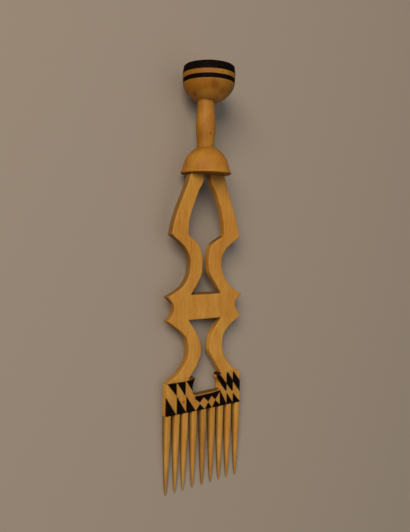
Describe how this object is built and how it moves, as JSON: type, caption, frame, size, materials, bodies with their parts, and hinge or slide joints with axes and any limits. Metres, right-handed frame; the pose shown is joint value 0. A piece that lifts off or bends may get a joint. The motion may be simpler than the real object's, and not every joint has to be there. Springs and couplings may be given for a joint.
{
  "type": "long-handled carved hair comb",
  "caption": "Long-handled hair comb carved in pale wood: tapering teeth, burnt triangle pattern, bent openwork limbs, crossbar, dome and banded bowl-shaped knob.",
  "frame": {"origin": "the middle of the comb's box, at its base, below the frame's crossbar", "axes": "+X across the comb to its right as seen from the patterned face, +Y along the comb towards the knob, +Z out of the patterned face"},
  "size_m": [0.0634, 0.278, 0.035],
  "materials": {
    "carved_wood": "pale honey-coloured wood, carved and smoothed by hand, unvarnished, soft sheen",
    "burnt_wood": "wood burnt black on its surface, slightly satin"
  },
  "bodies": {
    "root": {"bowl": "carved_wood", "neck": "carved_wood", "dome": "carved_wood", "strut_left": "carved_wood", "strut_right": "carved_wood", "upper_limb_left": "carved_wood", "upper_limb_right": "carved_wood", "crossbar": "carved_wood", "lower_limb_left": "carved_wood", "lower_limb_right": "carved_wood", "head": "carved_wood", "tooth_1": "carved_wood", "tooth_2": "carved_wood", "tooth_3": "carved_wood", "tooth_4": "carved_wood", "tooth_5": "carved_wood", "tooth_6": "carved_wood", "tooth_7": "carved_wood", "tooth_8": "carved_wood", "tooth_9": "carved_wood", "bowl_lower_band": "burnt_wood", "bowl_rim_band": "burnt_wood", "upper_left_field_1": "burnt_wood", "upper_left_field_2": "burnt_wood", "upper_left_field_3": "burnt_wood", "lower_left_field_1": "burnt_wood", "lower_left_field_2": "burnt_wood", "lower_left_field_3": "burnt_wood", "lower_centre_field_1": "burnt_wood", "lower_centre_field_2": "burnt_wood", "lower_centre_field_3": "burnt_wood", "upper_right_field_1": "burnt_wood", "upper_right_field_2": "burnt_wood", "upper_right_field_3": "burnt_wood", "lower_right_field_1": "burnt_wood", "lower_right_field_2": "burnt_wood", "lower_right_field_3": "burnt_wood", "zigzag_field": "burnt_wood"}
  },
  "joints": []
}
